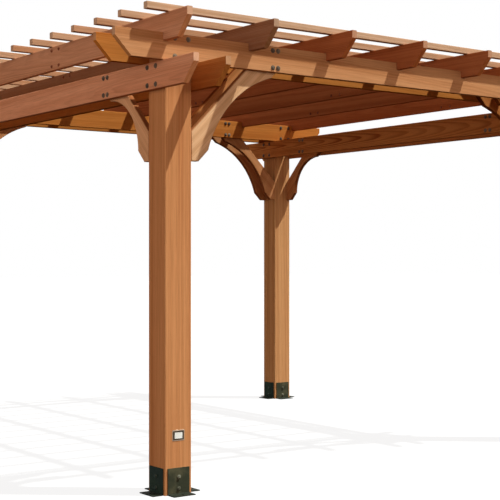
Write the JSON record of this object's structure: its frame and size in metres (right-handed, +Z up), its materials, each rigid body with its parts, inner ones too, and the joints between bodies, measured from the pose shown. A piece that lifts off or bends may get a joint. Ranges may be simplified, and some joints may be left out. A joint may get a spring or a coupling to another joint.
{
  "type": "wooden pergola",
  "caption": "Square free-standing garden pergola: posts in steel bases, crossing twin beams, knee braces, notched rafters and a deck of light battens.",
  "frame": {"origin": "on the ground, at the centre of the four posts", "axes": "+Z up, +X along the upper beams and battens, +Y along the lower beams and rafters; the front is -Y"},
  "size_m": [3.834, 3.834, 2.509],
  "materials": {
    "post_wood": "oiled redwood, smooth sawn",
    "beam_wood": "oiled redwood, smooth sawn",
    "brace_wood": "oiled redwood, smooth sawn",
    "rafter_wood": "oiled redwood, smooth sawn",
    "batten_wood": "oiled redwood, smooth sawn",
    "base_steel": "dark powder coat, fine texture",
    "bolt_steel": "dark coated bolts and washers"
  },
  "bodies": {
    "root": {"post_front_left": "post_wood", "base_front_left": "base_steel", "long_brace_front_left": "brace_wood", "short_brace_front_left": "brace_wood", "post_back_left": "post_wood", "base_back_left": "base_steel", "long_brace_back_left": "brace_wood", "short_brace_back_left": "brace_wood", "post_front_right": "post_wood", "base_front_right": "base_steel", "long_brace_front_right": "brace_wood", "short_brace_front_right": "brace_wood", "post_back_right": "post_wood", "base_back_right": "base_steel", "long_brace_back_right": "brace_wood", "short_brace_back_right": "brace_wood", "lower_beam_left_a": "beam_wood", "lower_beam_left_b": "beam_wood", "lower_beam_right_a": "beam_wood", "lower_beam_right_b": "beam_wood", "upper_beam_front_a": "beam_wood", "upper_beam_front_b": "beam_wood", "upper_beam_back_a": "beam_wood", "upper_beam_back_b": "beam_wood", "rafter_1": "rafter_wood", "rafter_2": "rafter_wood", "rafter_3": "rafter_wood", "rafter_4": "rafter_wood", "rafter_5": "rafter_wood", "rafter_6": "rafter_wood", "rafter_7": "rafter_wood", "batten_01": "batten_wood", "batten_02": "batten_wood", "batten_03": "batten_wood", "batten_04": "batten_wood", "batten_05": "batten_wood", "batten_06": "batten_wood", "batten_07": "batten_wood", "batten_08": "batten_wood", "batten_09": "batten_wood", "batten_10": "batten_wood", "batten_11": "batten_wood", "batten_12": "batten_wood", "batten_13": "batten_wood", "batten_14": "batten_wood"}
  },
  "joints": []
}
